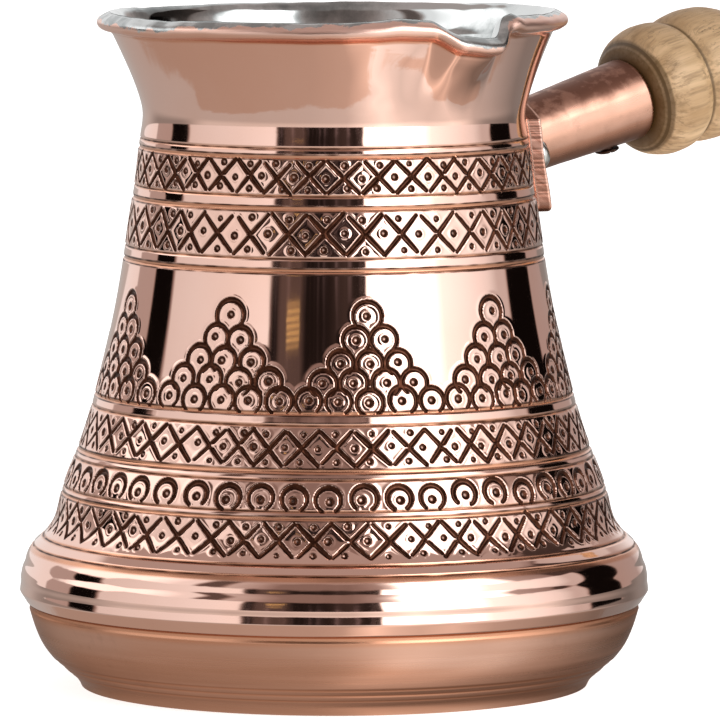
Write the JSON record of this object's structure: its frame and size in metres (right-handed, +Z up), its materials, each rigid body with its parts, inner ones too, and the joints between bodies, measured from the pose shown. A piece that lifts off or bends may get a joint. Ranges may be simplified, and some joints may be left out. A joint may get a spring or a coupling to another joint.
{
  "type": "turkish coffee pot",
  "caption": "Bell-shaped tinned copper coffee pot with chased bands, a pinched pouring lip and a long turned wooden handle on a riveted copper ferrule.",
  "frame": {"origin": "centre of the flat underside of the pot", "axes": "+Z up along the pot's axis, +X towards the handle, -Y towards the pouring lip"},
  "size_m": [0.2073, 0.0904, 0.1148],
  "materials": {
    "polished_copper": "polished copper with hand-chased, dark-patinated ornament and a brushed base",
    "brushed_copper": "brushed and slightly tarnished copper",
    "tin": "hand-wiped bright tin",
    "braze": "filed brazing metal",
    "rivet_metal": "white metal, hammered dome",
    "screw_steel": "blackened steel",
    "beech": "turned beech, thinly oiled, with a dark burnished shoulder"
  },
  "bodies": {
    "root": {"vessel_body": "polished_copper", "tin_lining": "tin", "bracket_plate": "brushed_copper", "handle_ferrule": "brushed_copper", "braze_fillet": "braze", "rivet_left": "rivet_metal", "rivet_right": "rivet_metal", "handle_screw": "screw_steel", "wooden_handle": "beech"}
  },
  "joints": []
}
